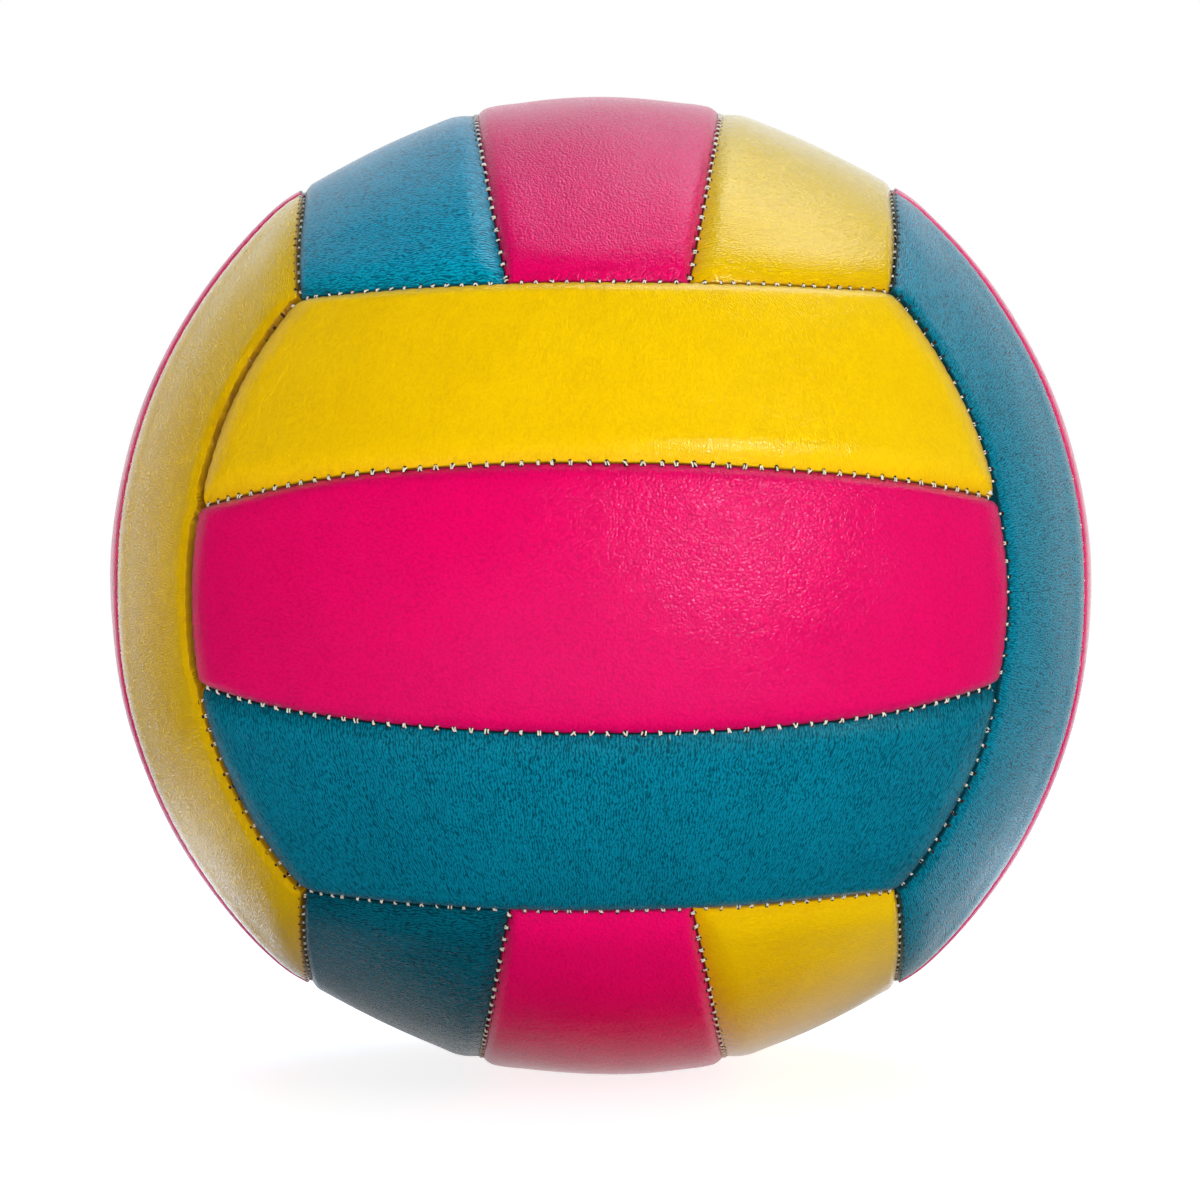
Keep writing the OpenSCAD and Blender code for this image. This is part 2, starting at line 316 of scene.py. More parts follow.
class Strip:
    """One strip of a face: the seams round it, and the surface that its cover has between them."""

    def __init__(self, name, face, place, colour):
        self.name, self.face, self.place, self.colour = name, face, place, colour
        self.along, self.across, self.outward = AXES[face]
        if place:
            self.sides = [(SEAMS[face, "side", place], 1), (SEAMS[face, "inner", place], -1)]
            self.falls = (SIDE_FALL, QUICK_FALL if face in ("left", "right") else INNER_FALL)
        else:
            self.sides = [(SEAMS[face, "inner", 1], 1), (SEAMS[face, "inner", -1], 1)]
            self.falls = (PILLOW, PILLOW)
        self.ends = [(end_seam(face, 1), -1), (end_seam(face, -1), -1)]

    def direction(self, s, t):
        """Unit directions for s across and t along the strip, each from -1 to 1."""
        if self.place:
            share = (s + 1) / 2
            angle = self.place * (INNER_ANGLE + share * (SIDE_ANGLE - INNER_ANGLE))
            lean = self.place * (INNER_LEAN + share * (SIDE_LEAN - INNER_LEAN))
        else:
            angle, lean = s * INNER_ANGLE, s * INNER_LEAN
        level = np.sin(angle - lean)
        ring = np.sqrt(1 - level**2)
        a = t * half_angle(level, lean)
        u = ring * np.sin(a)
        v = level * np.cos(lean) + ring * np.cos(a) * np.sin(lean)
        w = -level * np.sin(lean) + ring * np.cos(a) * np.cos(lean)
        return u[..., None] * self.along + v[..., None] * self.across + w[..., None] * self.outward

    def distances(self, directions):
        """Distances from the seams along its sides and at its ends."""
        side = [sign * seam.distance(directions) for seam, sign in self.sides]
        end = [sign * seam.distance(directions) for seam, sign in self.ends]
        return side, end

    def depth(self, directions):
        """Distance from the nearest of its seams, negative outside the strip."""
        side, end = self.distances(directions)
        return np.minimum.reduce(side + end)

    def margins(self, directions):
        """Distances from the cover's own edges, which stand off from the seam where it gapes."""
        side, end = self.distances(directions)
        if self.name == "left_front":
            side[0] = side[0] - gape(directions)
        return side, end

    def radius(self, directions):
        """Radius of the cover's surface in each direction."""
        cosine = directions @ self.outward
        base = np.sqrt(FACE_R**2 - FACE_OFFSET**2 * (1 - cosine**2)) - FACE_OFFSET * cosine
        share = SHALLOW if self.face in ("left", "right") else 1
        side, end = self.margins(directions)
        near_side, near_end = np.minimum(*side), np.minimum(*end)
        shapes = self.falls + (END_FALL, END_FALL)
        falls = [fall(distance, base, *shape) for distance, shape in zip(side + end, shapes)]
        return (
            base
            + self.shoulders(side, near_end)
            - share * np.linalg.norm(falls, axis=0)
            - edge(rounded(near_side, near_end), self.edge_radius(side, near_end))
            - self.puckers(directions, side + end)
            + waves(directions)
            + swells(directions)
        )

    def shoulders(self, side, near_end):
        """Swells beside the seams that run along the strip, and its flat middle."""
        fade = np.clip(near_end / SHOULDER_FADE, 0, 1)
        fade = fade * fade * (3 - 2 * fade)
        share = np.clip(side[0] / (side[0] + side[1]), 0, 1)
        crown = 4 * share * (1 - share)
        if self.place:
            return fade * (OUTER_SHOULDER * swell(side[1]) - OUTER_FLAT * crown)
        return fade * (MIDDLE_SHOULDER * (swell(side[0]) + swell(side[1])) - MIDDLE_FLAT * crown)

    def edge_radius(self, side, near_end):
        """Radius of the turned-down edge, tighter along the inner seams."""
        inner = side[1] if self.place else np.minimum(*side)
        outer = np.minimum(side[0], near_end) if self.place else near_end
        inner, outer = (np.clip(d, LEAST_DISTANCE, None) for d in (inner, outer))
        return (INNER_EDGE_R * outer + OUTER_EDGE_R * inner) / (inner + outer)

    def puckers(self, directions, distances):
        """Dips of the leather where the stitches pull it down."""
        total = 0
        for (seam, _), distance in zip(self.sides + self.ends, distances):
            total = total + seam.pucker(directions) * np.exp(-np.clip(distance, 0, None) / PUCKER_RUN)
        return PUCKER * total


STRIP_LIST = [Strip(*row) for row in STRIPS]


def gape(directions):
    """Width of the gap beside the front face, closed where the front's own seams arrive."""
    upper = SEAMS["front", "inner", 1].distance(directions)
    lower = SEAMS["front", "inner", -1].distance(directions)
    corner = SEAMS["front", "side", 1].distance(directions)
    near = np.minimum.reduce([np.abs(upper), np.clip(lower, 0, None), np.clip(corner, 0, None)])
    widening = GAPE_START + (1 - GAPE_START) * np.clip(corner / GAPE_RUN, 0, 1)
    return GAPE * widening * (1 - np.exp(-((near / GAPE_END) ** 2)))


def swell(distance):
    """1 at the shoulder beside a seam, and 0 well away from it."""
    return np.exp(-(((distance - SHOULDER_AT) / SHOULDER_RUN) ** 2))


def fall(distance, base, rim_depth, run, power):
    """Slow fall of the surface from the crowned face down to the rim at one seam."""
    return (base - CROWN_R + rim_depth) * (1 - np.clip(distance / run, 0, 1)) ** power


def rounded(near_side, near_end):
    """Distance from the outline of the strip, whose corners are rounded."""
    in_side, in_end = np.clip(CORNER_R - near_side, 0, None), np.clip(CORNER_R - near_end, 0, None)
    corner = CORNER_R - np.hypot(in_side, in_end)
    return np.where((in_side > 0) & (in_end > 0), corner, np.minimum(near_side, near_end))


def edge(distance, radius):
    """Fall of the turned-down edge: a quarter round, then the wall of the groove."""
    inside = np.clip(radius - distance, 0, radius)
    quarter = radius - np.sqrt(radius**2 - inside**2)
    wall = WALL_DEPTH * (1 - np.clip(distance / WALL_RUN, 0, 1))
    return quarter + wall


def swells(directions):
    """Broad, shallow swells that the inflated ball has at its sides."""
    total = 0
    for azimuth, elevation, spread, push in SWELLS:
        cosine = np.clip(directions @ np.array(around(azimuth, elevation, 1)), -1, 1)
        total = total + push * MM * np.exp(-((np.arccos(cosine) / (spread * DEGREE)) ** 2))
    return total


def waves(directions):
    """Slight unevenness of the padding, over 25 to 45 mm."""
    rng = np.random.default_rng(WAVE_SEED)
    total = 0
    for _ in range(WAVE_COUNT):
        axis = rng.normal(size=3)
        axis *= rng.uniform(*WAVE_RATES) / np.linalg.norm(axis)
        total = total + np.sin(directions @ axis + rng.uniform(0, 2 * math.pi))
    return WAVE_HEIGHT * total


# Meshes

def spaced(half_length, step):
    """Shares from -1 to 1 of a length, close together near both ends."""
    count = max(3, int((half_length - RIM_LINES[-1]) / step) + 1)
    rest = np.linspace(RIM_LINES[-1], half_length, count)[1:]
    half = 1 - np.concatenate([RIM_LINES, rest]) / half_length
    return np.concatenate([-half, half[:-1][::-1]])


def shifted(verts):
    """Moves places along the surface, as the hand-sewn seams run."""
    verts = np.asarray(verts)
    radii = np.linalg.norm(verts, axis=-1, keepdims=True)
    moved = verts.copy()
    for azimuth, elevation, right, up in SHIFTS:
        cosine = np.clip(verts / radii @ np.array(around(azimuth, elevation, 1)), -1, 1)
        weight = np.exp(-((np.arccos(cosine) / (SHIFT_SPREAD * DEGREE)) ** 2))
        moved += weight[..., None] * np.array([right * MM, 0, up * MM])
    return moved / np.linalg.norm(moved, axis=-1, keepdims=True) * radii


def mesh_object(name, verts, faces, material, smooth=True):
    """A new object in the scene, of one material."""
    mesh = bpy.data.meshes.new(name)
    mesh.from_pydata(verts, [], faces)
    mesh.polygons.foreach_set("use_smooth", [smooth] * len(mesh.polygons))
    mesh.materials.append(material)
    mesh.update()
    obj = bpy.data.objects.new(name, mesh)
    bpy.context.scene.collection.objects.link(obj)
    return obj


def grid_faces(rows, cols, start, flip):
    """The quads of a grid whose first point has the number start."""
    index = start + np.arange(rows * cols).reshape(rows, cols)
    quads = np.stack([index[:-1, :-1], index[:-1, 1:], index[1:, 1:], index[1:, :-1]], -1).reshape(-1, 4)
    return quads[:, ::-1] if flip else quads


def ring_of(rows, cols):
    """Row and column numbers round the border of a grid, in order."""
    return (
        [(0, c) for c in range(cols)]
        + [(r, cols - 1) for r in range(1, rows)]
        + [(rows - 1, c) for c in range(cols - 2, -1, -1)]
        + [(r, 0) for r in range(rows - 2, 0, -1)]
    )


def coarse(count, skip, step):
    """Grid lines that the inner skin keeps, from the line at skip to the one that mirrors it."""
    inner = list(range(skip, count - skip, step))
    if inner[-1] != count - 1 - skip:
        inner[-1] = count - 1 - skip
    return inner


def border_line(index, kept, count):
    """The outer skin's line that a line of the inner skin goes to: at the border, the very rim."""
    if index == 0:
        return 0
    return count - 1 if index == len(kept) - 1 else kept[index]


def cover(strip, material):
    """One strip's cover: a thin leather tray whose walls go down into its seams."""
    half_width = CROWN_R * (INNER_ANGLE if strip.place == 0 else (SIDE_ANGLE - INNER_ANGLE) / 2)
    half_length = CROWN_R * half_angle(math.sin(INNER_ANGLE - INNER_LEAN), INNER_LEAN)
    s, t = spaced(half_width, GRID_STEPS[0]), spaced(half_length, GRID_STEPS[1])
    rows, cols = len(s), len(t)
    grid_s, grid_t = np.meshgrid(s, t, indexing="ij")
    directions = strip.direction(grid_s, grid_t).reshape(-1, 3)
    outer = directions * strip.radius(directions)[:, None]

    # Inner skin: coarser than the outer one, and a hem's width smaller all round
    skip = int(np.searchsorted(half_width * (1 + s), HEM_WIDTH))
    keep_rows, keep_cols = coarse(rows, skip, INNER_STEPS[0]), coarse(cols, skip, INNER_STEPS[1])
    picks = np.array([[r * cols + c for c in keep_cols] for r in keep_rows])
    inner = directions[picks.ravel()] * (strip.radius(directions[picks.ravel()]) - COVER_T)[:, None]
    border = ring_of(*picks.shape)
    picks_of_border = [picks[r, c] for r, c in border]
    hem_inner = directions[picks_of_border] * HEM_R

    # Walls: where each point of the inner border meets the outer rim
    outer_ring = [r * cols + c for r, c in ring_of(rows, cols)]
    stops = [
        outer_ring.index(border_line(r, keep_rows, rows) * cols + border_line(c, keep_cols, cols))
        for r, c in border
    ]
    hem_outer = directions[[outer_ring[stop] for stop in stops]] * HEM_R

    verts = np.concatenate([outer, inner, hem_inner, hem_outer])
    at_inner = len(outer)
    at_hem_inner = at_inner + len(inner)
    at_hem_outer = at_hem_inner + len(hem_inner)
    faces = grid_faces(rows, cols, 0, False).tolist()
    faces += grid_faces(len(keep_rows), len(keep_cols), at_inner, True).tolist()
    for i, (r, c) in enumerate(border):
        j = (i + 1) % len(border)
        r2, c2 = border[j]
        here, there = at_inner + r * len(keep_cols) + c, at_inner + r2 * len(keep_cols) + c2
        faces.append([here, there, at_hem_inner + j, at_hem_inner + i])
        faces.append([at_hem_inner + i, at_hem_inner + j, at_hem_outer + j, at_hem_outer + i])
        last = stops[j] if stops[j] > stops[i] else len(outer_ring)
        top = [outer_ring[k % len(outer_ring)] for k in range(stops[i], last + 1)]
        faces.append(top[::-1] + [at_hem_outer + i, at_hem_outer + j])
    obj = mesh_object(f"cover_{strip.name}", shifted(verts), faces, material)

    # What the leather reads: distance from the seams, place on the strip, and its painted light and shade
    side, end = strip.margins(directions)
    near = np.minimum.reduce([*side, *end]).clip(0, None)
    place = np.stack([grid_s * half_width, grid_t * half_length], -1).reshape(-1, 2)
    rest = np.concatenate([picks.ravel(), picks_of_border, picks_of_border])
    store(obj, "seam_distance", np.concatenate([near, near[rest]]))
    store(obj, "across_strip", np.concatenate([place[:, 0], place[rest, 0]]))
    store(obj, "along_strip", np.concatenate([place[:, 1], place[rest, 1]]))
    store(obj, "painted_light", np.full(len(verts), STRIP_PAINTED_LIGHT.get(strip.name, 1.0)))
    return obj


def store(obj, name, values):
    """Stores one number for each point of a mesh."""
    attribute = obj.data.attributes.new(name, "FLOAT", "POINT")
    attribute.data.foreach_set("value", values.astype(np.float32))


def strips_beside(seam):
    """The strips that meet at a seam, those of its own face first."""
    own, other = [], []
    for strip in STRIP_LIST:
        for side, sign in strip.sides + strip.ends:
            if side is seam:
                (own if sign > 0 else other).append(strip)
    return own + other


def surface_radius(strips, directions):
    """Radius of whichever strip lies under each direction."""
    under = np.argmax([strip.depth(directions) for strip in strips], axis=0)
    return np.choose(under, [strip.radius(directions) for strip in strips])


def unit(vectors):
    """The vectors at length 1."""
    return vectors / np.linalg.norm(vectors, axis=-1, keepdims=True)


def tubes(paths, radii, sides=6):
    """Round threads along paths (count, points, 3), closed at both ends."""
    count, points, _ = paths.shape
    tangent = unit(np.gradient(paths, axis=1))
    side = unit(np.cross(tangent, unit(paths[:, points // 2 : points // 2 + 1])))
    up = np.cross(side, tangent)
    turn = 2 * math.pi * np.arange(sides) / sides
    ring = np.cos(turn)[:, None] * side[:, :, None] + np.sin(turn)[:, None] * up[:, :, None]
    verts = (paths[:, :, None] + radii[:, None, None, None] * ring).reshape(-1, 3)
    faces = []
    for base in range(0, count * points * sides, points * sides):
        for i in range(base, base + (points - 1) * sides, sides):
            for k in range(sides):
                a, b = i + k, i + (k + 1) % sides
                faces.append([a, b, b + sides, a + sides])
        last = base + (points - 1) * sides
        faces.append(list(range(base, base + sides))[::-1])
        faces.append(list(range(last, last + sides)))
    return verts, faces


def stitch_angles(seam, strips):
    """Angles of a seam's stitches, without those that would sit on the end of another seam."""
    room = []
    for side in (1, -1):
        beside = seam.beside(seam.stitches, side * STITCH_CLEAR, 0)
        room.append(np.max([strip.depth(beside) for strip in strips], axis=0))
    return seam.stitches[np.minimum(*room) > STITCH_ROOM]


def sewn_seams(face):
    """The four seams that belong to a face, with the strips beside them and the stitches' angles."""
    for kind in ("inner", "side"):
        for side in (1, -1):
            seam = SEAMS[face, kind, side]
            strips = strips_beside(seam)
            yield seam, strips, stitch_angles(seam, strips)


def strands(seam, strips, angles, rng, hand):
    """One of each stitch's two strands, which part or meet on their way over the groove."""
    count = len(angles)
    reach = STITCH_REACH[seam.kind] * rng.uniform(*REACH_SHARES, (count, 1))
    widths = STITCH_OPEN[seam.kind] * rng.uniform(*OPEN_SHARES, (count, 2))
    slant = SLANT * rng.standard_normal((count, 1))
    width = widths[:, :1] + (STRAND_SHARES + 1) / 2 * (widths[:, 1:] - widths[:, :1])
    along = hand * width + slant * STRAND_SHARES + rng.normal(0, STRAY, (count, 1))
    across = reach * STRAND_SHARES + STITCH_SHIFT[seam.kind]
    directions = seam.beside(angles[:, None], across, along)
    feet = [surface_radius(strips, directions[:, k]) for k in STRAND_FEET]
    level = np.minimum(*feet)[:, None]
    return directions * (level + STRAND_HEIGHTS * THREAD_R[seam.kind])[..., None]


def stitches(face, material):
    """The cream stitches along the four seams that belong to a face."""
    rng = np.random.default_rng(STITCH_SEED + list(FACES).index(face))
    paths, radii = [], []
    for seam, strips, angles in sewn_seams(face):
        for hand in (1, -1):
            paths.append(strands(seam, strips, angles, rng, hand))
            radii.append(np.full(len(angles), THREAD_R[seam.kind]))
    verts, faces = tubes(np.concatenate(paths), np.concatenate(radii))
    return mesh_object(f"stitches_{face}", shifted(verts), faces, material)


def hole_shadow_discs(face, material):
    """Painted shade of the needle holes: dark discs just over the leather where the thread enters it, on
    both sides of each seam.
    """
    rng = np.random.default_rng(HOLE_SEED + list(FACES).index(face))
    turn = 2 * math.pi * np.arange(HOLE_SIDES) / HOLE_SIDES
    verts, faces = [], []
    for seam, strips, angles in sewn_seams(face):
        count = len(angles)
        for sign in (1, -1):
            size = HOLE_R[seam.kind] * rng.uniform(*HOLE_SHARES, (count, 1))
            shift = rng.normal(0, HOLE_STRAY, (count, 1))
            middle = sign * HOLE_AT * STITCH_REACH[seam.kind] + STITCH_SHIFT[seam.kind]
            along = shift + HOLE_LENGTH * size * np.sin(turn)
            ring = seam.beside(angles[:, None], middle + size * np.cos(turn), along)
            heights = surface_radius(strips, ring.reshape(-1, 3)).reshape(count, -1) + HOLE_LIFT
            start = len(verts)
            verts.extend((ring * heights[..., None]).reshape(-1, 3))
            order = range(HOLE_SIDES)[:: sign * seam.side]
            faces.extend([start + HOLE_SIDES * i + k for k in order] for i in range(count))
    return mesh_object(f"hole_shadow_discs_{face}", shifted(verts), faces, material, smooth=False)


# Materials

def new_material(name):
    """A new node material, with its nodes, its links and its shader."""
    material = bpy.data.materials.new(name)
    material.use_nodes = True
    nodes, links = material.node_tree.nodes, material.node_tree.links
    shader = nodes["Principled BSDF"]
    return material, nodes, links, shader


def node(nodes, kind, **settings):
    """A new node. A setting is the name of an input, with _ for a space, or an attribute."""
    made = nodes.new(kind)
    for key, value in settings.items():
        socket = key.replace("_", " ")
        if socket in made.inputs:
            made.inputs[socket].default_value = value
        else:
            setattr(made, key, value)
    return made


def feed(links, socket, value):
    """Gives a socket a fixed value, or links it to another node's output."""
    if isinstance(value, bpy.types.NodeSocket):
        links.new(value, socket)
    else:
        socket.default_value = value


def place_on(nodes, output="Object"):
    """Where a point is: in the object's own coordinates, or in another kind."""
    return nodes.new("ShaderNodeTexCoord").outputs[output]


def noise(nodes, links, coordinates, scale, detail=2.0, roughness=0.5):
    """A noise texture on given coordinates."""
    made = node(nodes, "ShaderNodeTexNoise", Scale=scale, Detail=detail, Roughness=roughness)
    links.new(coordinates, made.inputs["Vector"])
    return made


def srgb(r, g, b):
    """Linear colour of an sRGB colour given in 0 to 255."""
    return tuple((c / 255 / 12.92) if c <= 10 else ((c / 255 + 0.055) / 1.055) ** 2.4 for c in (r, g, b))


def ramp(nodes, links, value, stops):
    """Colour that follows a value through stops of position and colour."""
    made = nodes.new("ShaderNodeValToRGB")
    for element, (position, colour) in zip(made.color_ramp.elements, stops):
        element.position = position
        element.color = (*colour, 1)
    links.new(value, made.inputs["Fac"])
    return made.outputs["Color"]


def maths(nodes, links, operation, *values, clamp=False):
    """The result of a sum, whose values are fixed or other nodes' outputs."""
    made = node(nodes, "ShaderNodeMath", operation=operation, use_clamp=clamp)
    for socket, value in zip(made.inputs, values):
        feed(links, socket, value)
    return made.outputs[0]


def mix(nodes, links, share, first, second, blend="MIX"):
    """A mix of two colours, which are fixed or other nodes' outputs."""
    made = node(nodes, "ShaderNodeMixRGB", blend_type=blend)
    for socket, value in zip(made.inputs, (share, first, second)):
        feed(links, socket, value)
    return made.outputs[0]


def relief(nodes, links, shader, height, distance, strength):
    """Bumps on a surface; gives their normal too."""
    made = node(nodes, "ShaderNodeBump", Distance=distance)
    feed(links, made.inputs["Strength"], strength)
    links.new(height, made.inputs["Height"])
    links.new(made.outputs["Normal"], shader.inputs["Normal"])
    return made.outputs["Normal"]


def attribute(nodes, name):
    """One of the numbers stored on a cover's points."""
    return node(nodes, "ShaderNodeAttribute", attribute_name=name).outputs["Fac"]


def grain_place(nodes, links, solid, stretch):
    """Coordinates that run with the strip, so that the grain draws out across it, and that wander."""
    level = nodes.new("ShaderNodeSeparateXYZ")
    links.new(solid, level.inputs[0])
    place = nodes.new("ShaderNodeCombineXYZ")
    across = maths(nodes, links, "MULTIPLY", attribute(nodes, "across_strip"), stretch)
    links.new(across, place.inputs["X"])
    links.new(attribute(nodes, "along_strip"), place.inputs["Y"])
    links.new(maths(nodes, links, "MULTIPLY", level.outputs["Z"], 0.2), place.inputs["Z"])
    wander = noise(nodes, links, solid, scale=210).outputs["Color"]
    return mix(nodes, links, 0.0012, place.outputs[0], wander, "LINEAR_LIGHT")


def grain_height(nodes, links, solid, creases):
    """Height of the leather's grain: wavy creases across the strip, round pebbles and pores."""
    drawn = grain_place(nodes, links, solid, 1.15 - 0.5 * creases)
    wrinkles = node(
        nodes, "ShaderNodeTexWave", bands_direction="Y", Scale=480, Distortion=6,
        Detail=1.0, Detail_Scale=2.0, Detail_Roughness=0.5,
    )
    pebbles = node(nodes, "ShaderNodeTexVoronoi", feature="F1", Scale=1550)
    for texture in (wrinkles, pebbles):
        links.new(drawn, texture.inputs["Vector"])
    tops = maths(nodes, links, "SUBTRACT", 1.15, pebbles.outputs["Distance"])
    pores = noise(nodes, links, solid, scale=3200, roughness=0.6)
    layers = (
        (wrinkles.outputs["Fac"], 0.55 * creases),
        (tops, 0.9 - 0.45 * creases),
        (pores.outputs["Fac"], 0.3),
    )
    parts = [maths(nodes, links, "MULTIPLY", layer, share) for layer, share in layers]
    return maths(nodes, links, "ADD", maths(nodes, links, "ADD", parts[0], parts[1]), parts[2])


def closeness(nodes, links, distance, run):
    """1 at a seam, and 0 from a run's distance on."""
    share = maths(nodes, links, "DIVIDE", distance, run)
    return maths(nodes, links, "SUBTRACT", 1.0, share, clamp=True)


def leather_colour(nodes, links, solid, height, colour, deep, groove_shade, valley_shade):
    """Random deeper patches, painted shade in the grain's valleys, near the seams and in their grooves,
    and the strip's painted light.
    """
    near = attribute(nodes, "seam_distance")
    # Painted shade, deepening towards the seams
    shade = maths(nodes, links, "POWER", closeness(nodes, links, near, SHADE_RUN), 2.0)
    shade = maths(nodes, links, "MULTIPLY", shade, 0.4)
    mottle = noise(nodes, links, solid, scale=75, detail=4, roughness=0.6)
    tone = maths(nodes, links, "MULTIPLY_ADD", mottle.outputs["Fac"], 0.5, -0.2)
    # Painted shade: the grain's valleys take the deeper colour
    valley = node(
        nodes, "ShaderNodeMapRange",
        From_Min=0.95, From_Max=0.4, To_Min=-0.2 * valley_shade, To_Max=valley_shade,
    )
    links.new(height, valley.inputs["Value"])
    tone = maths(nodes, links, "ADD", tone, valley.outputs["Result"])
    tone = maths(nodes, links, "ADD", tone, shade, clamp=True)
    mixed = mix(nodes, links, tone, (*colour, 1), (*deep, 1))
    # Painted shade in the seam's groove
    mixed = mix(nodes, links, closeness(nodes, links, near, GROOVE_RUN), mixed, (*groove_shade, 1))
    # Painted light and shade: scales the colour by the strip's own factor
    painted_colour = node(nodes, "ShaderNodeVectorMath", operation="SCALE")
    links.new(mixed, painted_colour.inputs["Vector"])
    links.new(attribute(nodes, "painted_light"), painted_colour.inputs["Scale"])
    return painted_colour.outputs[0]


def leather(name, colour, deep, groove_shade, gleam, valley_shade, grain, creases, rough, ior, coat):
    """Soft synthetic leather under a thin gloss coat, whose weight and roughness are given."""
    material, nodes, links, shader = new_material(name)
    solid = place_on(nodes)
    patches = noise(nodes, links, solid, scale=22, detail=3).outputs["Fac"]
    height = grain_height(nodes, links, solid, creases)
    depth = maths(nodes, links, "MULTIPLY_ADD", patches, 1.2 * grain, 0.2 * grain)
    normal = relief(nodes, links, shader, height, 0.0002, depth)
    links.new(normal, shader.inputs["Coat Normal"])
    # Colour of the leather, with its painted shade and painted light
    painted_colour = leather_colour(nodes, links, solid, height, colour, deep, groove_shade, valley_shade)
    links.new(painted_colour, shader.inputs["Base Color"])
    gloss = maths(nodes, links, "MULTIPLY_ADD", patches, 0.14, rough - 0.07)
    links.new(gloss, shader.inputs["Roughness"])
    shader.inputs["IOR"].default_value = ior
    shader.inputs["Specular Tint"].default_value = (*gleam, 1)
    shader.inputs["Coat Weight"].default_value = coat[0]
    shader.inputs["Coat Roughness"].default_value = coat[1]
    shader.inputs["Coat IOR"].default_value = 1.25
    shader.inputs["Sheen Weight"].default_value = 0.12
    shader.inputs["Sheen Roughness"].default_value = 0.25
    return material


def cloth(name, colour, deep, scale, rough=0.85):
    """Plain woven or spun material: thread, lining and foam."""
    material, nodes, links, shader = new_material(name)
    fibres = noise(nodes, links, place_on(nodes), scale, detail=4, roughness=0.65).outputs["Fac"]
    colours = ramp(nodes, links, fibres, [(0.25, deep), (0.75, colour)])
    links.new(colours, shader.inputs["Base Color"])
    relief(nodes, links, shader, fibres, 0.0001, 0.6)
    shader.inputs["Roughness"].default_value = rough
    shader.inputs["Sheen Weight"].default_value = 0.05
    return material


def rubber(name, colour, dusty, rough):
    """Moulded rubber with a dusty bloom."""
    material, nodes, links, shader = new_material(name)
    place = place_on(nodes)
    bloom = noise(nodes, links, place, scale=260, detail=4, roughness=0.6).outputs["Fac"]
    colours = ramp(nodes, links, bloom, [(0.35, colour), (0.8, dusty)])
    links.new(colours, shader.inputs["Base Color"])
    fine = noise(nodes, links, place, scale=2400, detail=3)
    relief(nodes, links, shader, fine.outputs["Fac"], 0.00005, 0.5)
    gloss = maths(nodes, links, "MULTIPLY_ADD", bloom, 0.25, rough)
    links.new(gloss, shader.inputs["Roughness"])
    return material


def hole_shade_material():
    """Painted shade of a needle hole: dull and nearly black, in two dark tones at random."""
    material, nodes, links, shader = new_material("needle_shade")
    shade_noise = noise(nodes, links, place_on(nodes), scale=1800)
    shades = [(0.3, (0.012, 0.006, 0.004)), (0.8, (0.05, 0.02, 0.012))]
    links.new(ramp(nodes, links, shade_noise.outputs["Fac"], shades), shader.inputs["Base Color"])
    shader.inputs["Roughness"].default_value = 0.9
    shader.inputs["Specular IOR Level"].default_value = 0.1
    return material


# Leather: its colour, a deeper colour for random patches and painted shade, and the painted shade of the
# seams' grooves
MATERIALS = {
    "yellow": leather(
        "leather_yellow", srgb(247, 198, 0), srgb(226, 166, 0), srgb(140, 88, 8), gleam=(1, 0.85, 0.45),
        valley_shade=0.3, grain=0.6, creases=0.4, rough=0.18, ior=1.34, coat=(0.8, 0.08),
    ),
    "magenta": leather(
        "leather_magenta", srgb(226, 0, 90), srgb(192, 0, 75), srgb(120, 0, 40), gleam=(1, 0.5, 0.9),
        valley_shade=0.45, grain=0.9, creases=0.2, rough=0.2, ior=1.36, coat=(0.3, 0.18),
    ),
    "teal": leather(
        "leather_teal", srgb(0, 124, 143), srgb(0, 72, 86), srgb(2, 40, 48), gleam=(0.4, 0.9, 1),
        valley_shade=1.0, grain=0.9, creases=0.7, rough=0.22, ior=1.33, coat=(0.3, 0.2),
    ),
}
THREAD = cloth("thread_cream", srgb(255, 251, 236), srgb(250, 236, 204), 2600)
HOLE_SHADE = hole_shade_material()


def dress_inside():
    """Materials for what lies under the covers and for the valve."""
    finishes = {
        "foam": cloth("pad_foam", srgb(238, 235, 224), srgb(214, 208, 192), 1500, 0.95),
        "lining": cloth("lining_cloth", srgb(224, 220, 208), srgb(188, 182, 168), 2200),
        "bladder": rubber("bladder_rubber", srgb(30, 30, 32), srgb(64, 64, 66), 0.4),
        "valve_housing": rubber("valve_rubber", srgb(58, 58, 60), srgb(92, 92, 92), 0.45),
        "valve_core": rubber("valve_core_rubber", srgb(226, 216, 190), srgb(204, 192, 162), 0.4),
    }
    for name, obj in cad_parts.items():
        for start, material in finishes.items():
            if name.startswith(start):
                for slot in obj.material_slots:
                    slot.material = material


# Pieces

